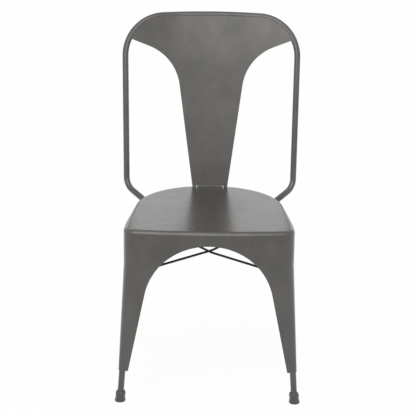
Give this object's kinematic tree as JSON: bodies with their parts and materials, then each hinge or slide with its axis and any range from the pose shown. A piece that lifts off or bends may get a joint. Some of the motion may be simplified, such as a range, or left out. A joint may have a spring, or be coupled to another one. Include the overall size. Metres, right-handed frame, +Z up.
{
  "type": "metal bistro chair",
  "caption": "Sheet-metal bistro side chair with a bent tube back, a flared splat, an arched skirt and splayed legs in rubber feet.",
  "frame": {"origin": "on the floor, at the middle of the chair's overall width and depth", "axes": "+Z up, +Y from the front of the seat towards the back, +X towards the right as seen from the front"},
  "size_m": [0.4762, 0.4787, 0.915],
  "materials": {
    "gunmetal_paint": "satin, lacquered gunmetal",
    "black_paint": "satin black",
    "black_steel": "black oxide",
    "foot_rubber": "matt black"
  },
  "bodies": {
    "root": {"seat_pan": "gunmetal_paint", "front_apron": "gunmetal_paint", "rear_apron": "gunmetal_paint", "left_apron": "gunmetal_paint", "right_apron": "gunmetal_paint", "front_left_leg": "gunmetal_paint", "front_right_leg": "gunmetal_paint", "rear_left_leg": "gunmetal_paint", "rear_right_leg": "gunmetal_paint", "front_left_leg_tube": "gunmetal_paint", "front_right_leg_tube": "gunmetal_paint", "rear_left_leg_tube": "gunmetal_paint", "rear_right_leg_tube": "gunmetal_paint", "back_frame": "gunmetal_paint", "back_splat": "gunmetal_paint", "upper_brace_rod": "black_paint", "lower_brace_rod": "black_paint", "brace_screws": "black_steel", "front_left_foot": "foot_rubber", "front_right_foot": "foot_rubber", "rear_left_foot": "foot_rubber", "rear_right_foot": "foot_rubber"}
  },
  "joints": []
}
